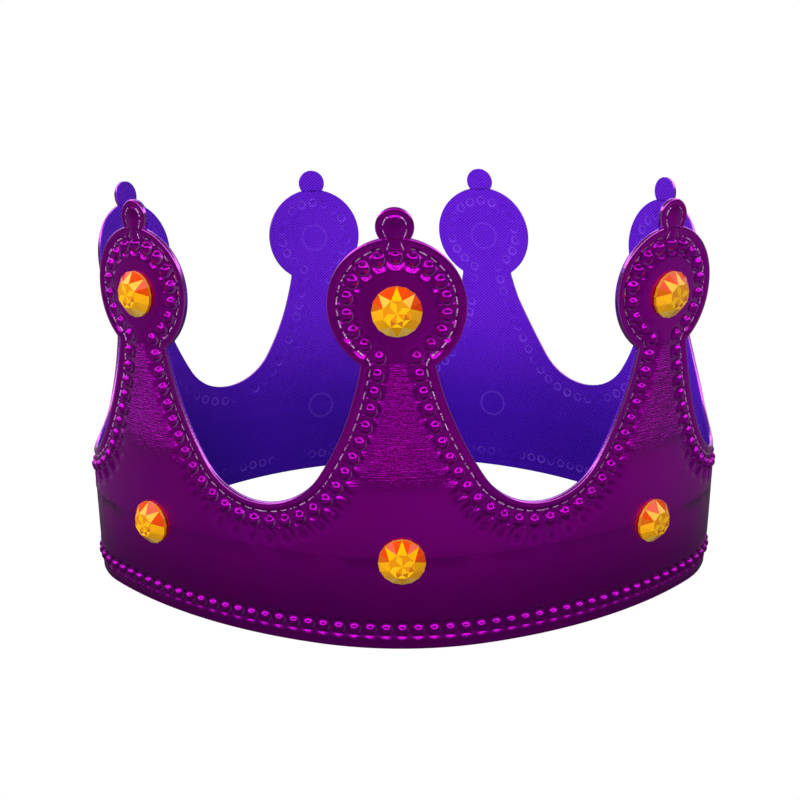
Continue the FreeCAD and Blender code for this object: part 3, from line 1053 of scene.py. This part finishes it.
def floor_material():
    material = bpy.data.materials.new("studio_floor")
    material.use_nodes = True
    tree = material.node_tree
    tree.nodes.clear()
    place = add(tree, "ShaderNodeTexCoord").outputs["Object"]
    reach = add(tree, "ShaderNodeVectorMath", {0: place}, operation="LENGTH").outputs["Value"]
    patches = calc(tree, "MULTIPLY_ADD", noise(tree, place, 3.0, 1.0), 1.8, 0.25)
    # Painted shadow: the part of the floor that the foil mirrors is darker within 0.1 to 0.2 m of
    # the crown.
    glow_with_painted_shadow = calc(tree, "MULTIPLY_ADD", ramp_between(tree, reach, 0.1, 0.2), 0.12, 0.06)
    glow_with_painted_shadow = calc(tree, "MULTIPLY", glow_with_painted_shadow, patches)
    grey = add(tree, "ShaderNodeEmission", {"Color": (1, 0.97, 1, 1), "Strength": glow_with_painted_shadow})
    white = add(tree, "ShaderNodeEmission", {"Color": (1, 1, 1, 1), "Strength": 1.0})
    add(tree, "ShaderNodeOutputMaterial", {0: white_to_camera(tree, grey, white).outputs[0]})
    return material


def add_floor(side, height):
    bm = bmesh.new()
    bmesh.ops.create_grid(bm, x_segments=1, y_segments=1, size=side / 2)
    mesh = bpy.data.meshes.new("floor")
    bm.to_mesh(mesh)
    bm.free()
    mesh.materials.append(floor_material())
    floor = bpy.data.objects.new("floor", mesh)
    floor.location.z = height
    bpy.context.scene.collection.objects.link(floor)


add_floor(6.0, -0.0003)

# %% [markdown]
# ## The room
#
# A ring of soft light stands above the crown and makes the small highlights on the
# beads. A bright backdrop behind it lights the upper edges. The rest is dark, and the
# camera sees plain white.

# %% World
def band(tree, value, low, high, soft):
    """1 between low and high, with soft ends."""
    rise = ramp_between(tree, value, low, low + soft)
    return calc(tree, "SUBTRACT", rise, ramp_between(tree, value, high - soft, high))


world = bpy.data.worlds.new("studio")
bpy.context.scene.world = world
world.use_nodes = True
tree = world.node_tree
tree.nodes.clear()
direction = add(tree, "ShaderNodeTexCoord").outputs["Generated"]
_, behind, height = add(tree, "ShaderNodeSeparateXYZ", {0: direction}).outputs
ring_light = calc(tree, "MULTIPLY", band(tree, height, 0.4, 0.74, 0.08), 1.8)
backdrop_light = band(tree, height, 0.0, 0.4, 0.1)
backdrop_light = calc(tree, "MULTIPLY", backdrop_light, ramp_between(tree, behind, 0.2, 0.6))
light = calc(tree, "ADD", calc(tree, "MULTIPLY_ADD", backdrop_light, 0.8, ring_light), 0.1)
room = add(tree, "ShaderNodeBackground", {0: (1, 1, 1, 1), 1: light})
backdrop = add(tree, "ShaderNodeBackground", {0: (1, 1, 1, 1), 1: 1.0})
add(tree, "ShaderNodeOutputWorld", {0: white_to_camera(tree, room, backdrop).outputs[0]})
print("World:", world.name)

# %% [markdown]
# ## Fill light
#
# Two soft lamps brighten the cloth and the stones. The foil doesn't mirror them.

# %% Lamps
def fill_lamp(name, location, target, size, power):
    """A soft lamp that the foil doesn't mirror."""
    data = bpy.data.lights.new(name, "AREA")
    data.size, data.energy = size, power
    obj = bpy.data.objects.new(name, data)
    obj.location = location
    look = Vector(target) - Vector(location)
    obj.rotation_euler = look.to_track_quat("-Z", "Y").to_euler()
    obj.visible_glossy = False
    bpy.context.scene.collection.objects.link(obj)


fill_lamp("left_fill", (-0.5, -0.6, 0.9), (0.0, 0.05, 0.08), 0.5, 9.0)
fill_lamp("front_fill", (0.1, -1.2, 0.5), (0.0, -0.08, 0.06), 0.4, 5.0)
print("Fill lamps: left_fill, front_fill")

# %% [markdown]
# ## Camera
#
# The camera stands a little above the crown and looks slightly down, close enough for
# the ring to show its perspective.

# %% Camera
CAMERA_TURN, CAMERA_TILT, CAMERA_ROLL = -0.013, 0.2697, -0.0082
CAMERA_DISTANCE = 0.36386
AIM = Vector((-0.007, 0.0, 0.0587))
# Picture width, focal length and the shift of the picture's centre, in pixels.
FRAME_PIXELS, FOCAL_PIXELS, CENTRE_SHIFT = 800.0, 1005.06, (-15.45, -15.66)
SENSOR = 36.0

forward = Vector(
    (
        math.sin(CAMERA_TURN) * math.cos(CAMERA_TILT),
        math.cos(CAMERA_TURN) * math.cos(CAMERA_TILT),
        -math.sin(CAMERA_TILT),
    )
)
level = forward.cross(Vector((0, 0, 1))).normalized()
upward = level.cross(forward)
cosine, sine = math.cos(CAMERA_ROLL), math.sin(CAMERA_ROLL)
right, up = level * cosine + upward * sine, upward * cosine - level * sine
camera_data = bpy.data.cameras.new("camera")
camera_data.sensor_width = SENSOR
camera_data.lens = FOCAL_PIXELS / FRAME_PIXELS * SENSOR
camera_data.shift_x = -CENTRE_SHIFT[0] / FRAME_PIXELS
camera_data.shift_y = CENTRE_SHIFT[1] / FRAME_PIXELS
camera = bpy.data.objects.new("camera", camera_data)
turn = Matrix((right, up, -forward)).transposed().to_4x4()
camera.matrix_world = Matrix.Translation(AIM - forward * CAMERA_DISTANCE) @ turn
bpy.context.scene.collection.objects.link(camera)
bpy.context.scene.camera = camera
bpy.context.scene.view_settings.view_transform = "Standard"
print("Camera lens, mm:", round(camera_data.lens, 2))

# %% Last update of the scene
bpy.context.view_layer.update()
